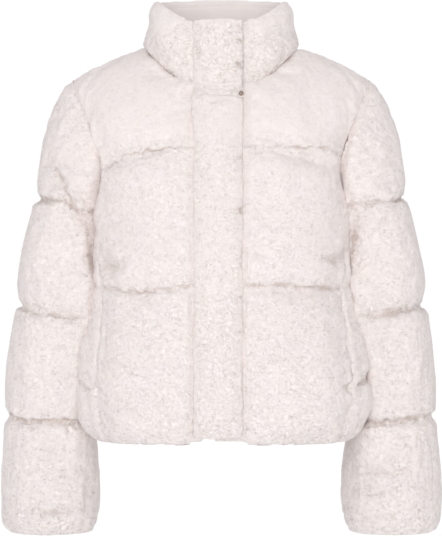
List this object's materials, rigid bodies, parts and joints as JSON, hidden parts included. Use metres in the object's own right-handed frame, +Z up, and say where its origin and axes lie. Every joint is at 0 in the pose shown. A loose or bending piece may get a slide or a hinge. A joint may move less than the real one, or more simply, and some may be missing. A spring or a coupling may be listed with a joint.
{
  "type": "cropped puffer jacket",
  "caption": "Cropped quilted jacket in curly fleece with stand collar, long sleeves and a covered front closing, filled out as if worn.",
  "frame": {"origin": "in the middle of the neck opening, level with the points where the shoulder seams meet the collar; the wearer's neck passes through it", "axes": "+Z up, -Y out of the garment's front, +X towards the wearer's left"},
  "size_m": [0.6374, 0.2761, 0.7681],
  "materials": {
    "fleece": "curly fleece with a short dense pile, matt, warm off-white",
    "lining": "smooth brushed knit, matt, dusty pink-beige",
    "tape": "woven zip tape with a moulded coil, matt",
    "metal": "dark burnished metal, satin"
  },
  "bodies": {
    "root": {"front_left": "fleece", "front_right": "fleece", "back": "fleece", "sleeve_left": "fleece", "sleeve_right": "fleece", "collar": "fleece", "collar_lining": "lining", "fly_front": "fleece", "fly_collar": "fleece", "zip_tape": "tape", "press_stud": "metal"}
  },
  "joints": []
}
